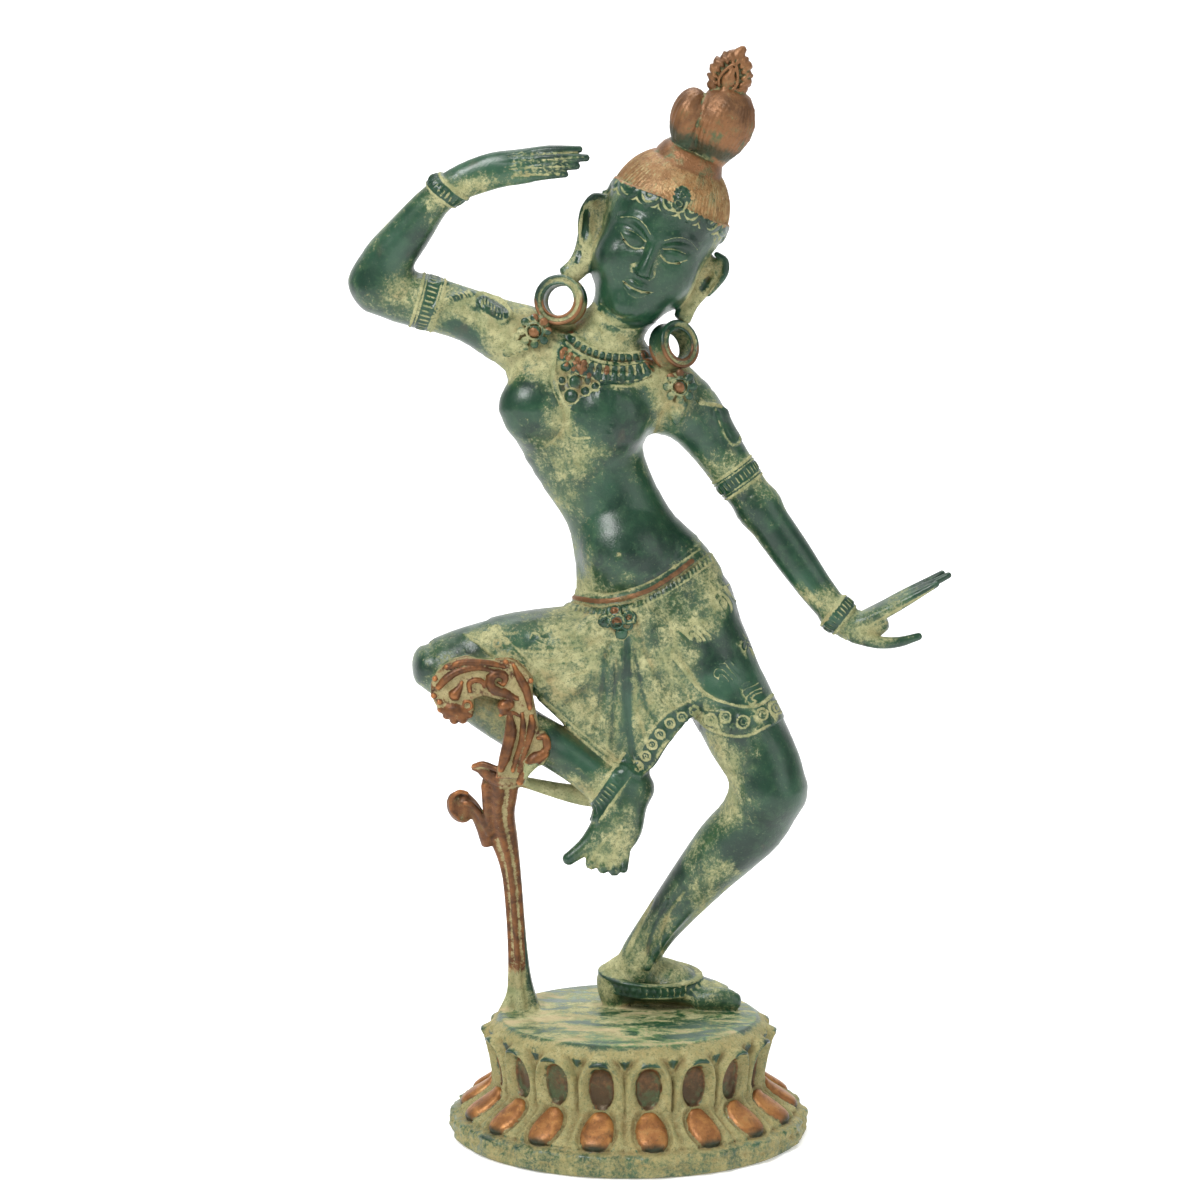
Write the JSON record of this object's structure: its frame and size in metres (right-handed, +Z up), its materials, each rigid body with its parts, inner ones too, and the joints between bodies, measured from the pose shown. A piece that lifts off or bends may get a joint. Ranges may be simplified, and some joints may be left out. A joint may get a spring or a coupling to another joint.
{
  "type": "dancing tara figure",
  "caption": "Dancing goddess cast in brass on an oval lotus plinth, one knee raised onto a foliate scroll support, hair in a high bun with a flame finial.",
  "frame": {"origin": "centre of the plinth's oval underside", "axes": "+Z up, the height of the figure; the figure faces -Y, and the long axis of the plinth runs along X"},
  "size_m": [0.2122, 0.11, 0.39],
  "materials": {
    "cast": "dark bottle-green painted patina with cream wash in the hollows and copper-brown hair, jewels, petals and scroll; satin to matt"
  },
  "bodies": {
    "root": {"dancing_tara": "cast"}
  },
  "joints": []
}
